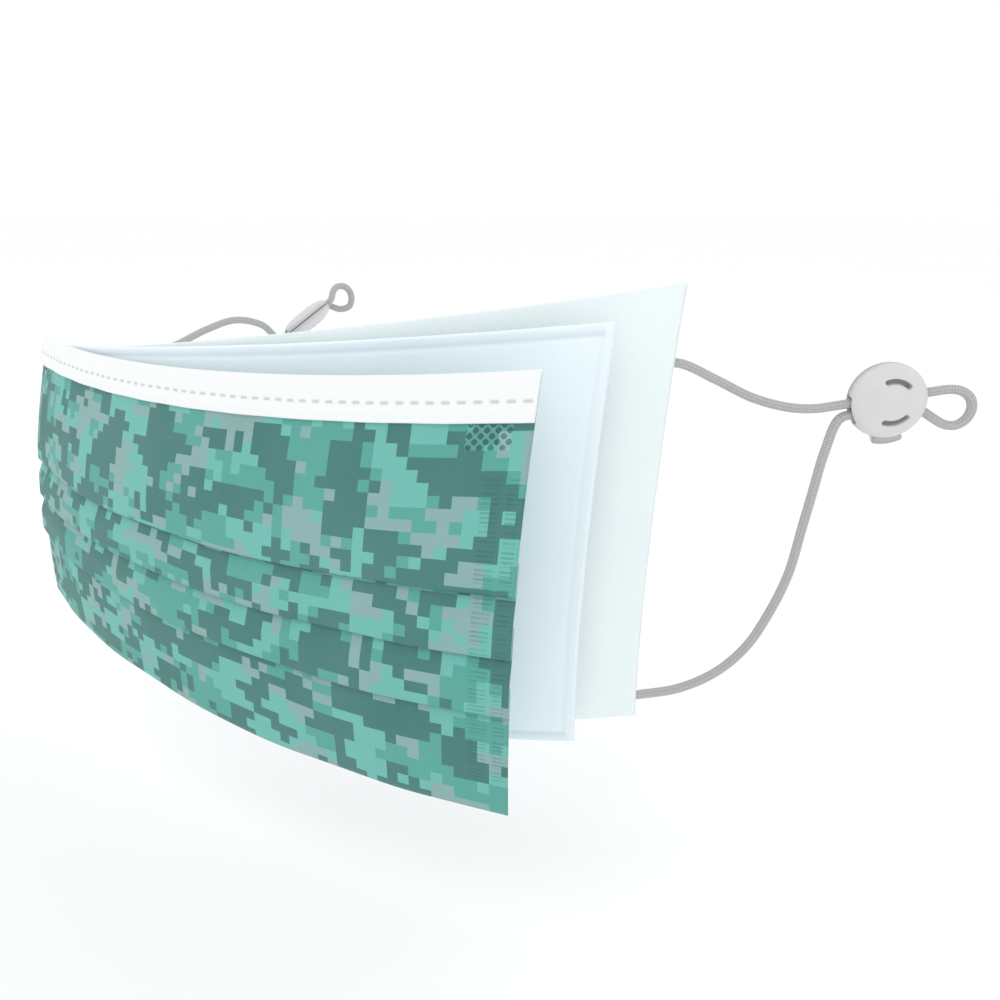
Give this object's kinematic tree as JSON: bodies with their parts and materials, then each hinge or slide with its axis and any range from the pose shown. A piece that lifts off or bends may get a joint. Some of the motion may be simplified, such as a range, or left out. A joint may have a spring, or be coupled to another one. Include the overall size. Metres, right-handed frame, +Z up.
{
  "type": "face mask",
  "caption": "Pleated printed face mask with nose band, filter sheet and inner sheet fanned open, and elastic ear cords running through round cord locks.",
  "frame": {"origin": "the point where the wearer's face meets the middle of the inner ply's back", "axes": "+Z up, +Y from the mask towards the wearer's face, +X to the wearer's left, the right of the printed face"},
  "size_m": [0.2418, 0.1106, 0.1095],
  "materials": {
    "printed_cloth": "matt non-woven cloth with a printed pattern of small squares",
    "band_cloth": "matt white non-woven binding",
    "filter_cloth": "soft matt pale-blue filter cloth",
    "inner_cloth": "matt pale-mint non-woven cloth",
    "ear_elastic": "fine round knit",
    "lock_plastic": "smooth satin moulding"
  },
  "bodies": {
    "root": {"outer_ply": "printed_cloth", "nose_band": "band_cloth", "filter_ply": "filter_cloth", "inner_ply": "inner_cloth", "ear_cord_right": "ear_elastic", "lock_cap_right": "lock_plastic", "lock_base_right": "lock_plastic", "ear_cord_left": "ear_elastic", "lock_cap_left": "lock_plastic", "lock_base_left": "lock_plastic"}
  },
  "joints": []
}
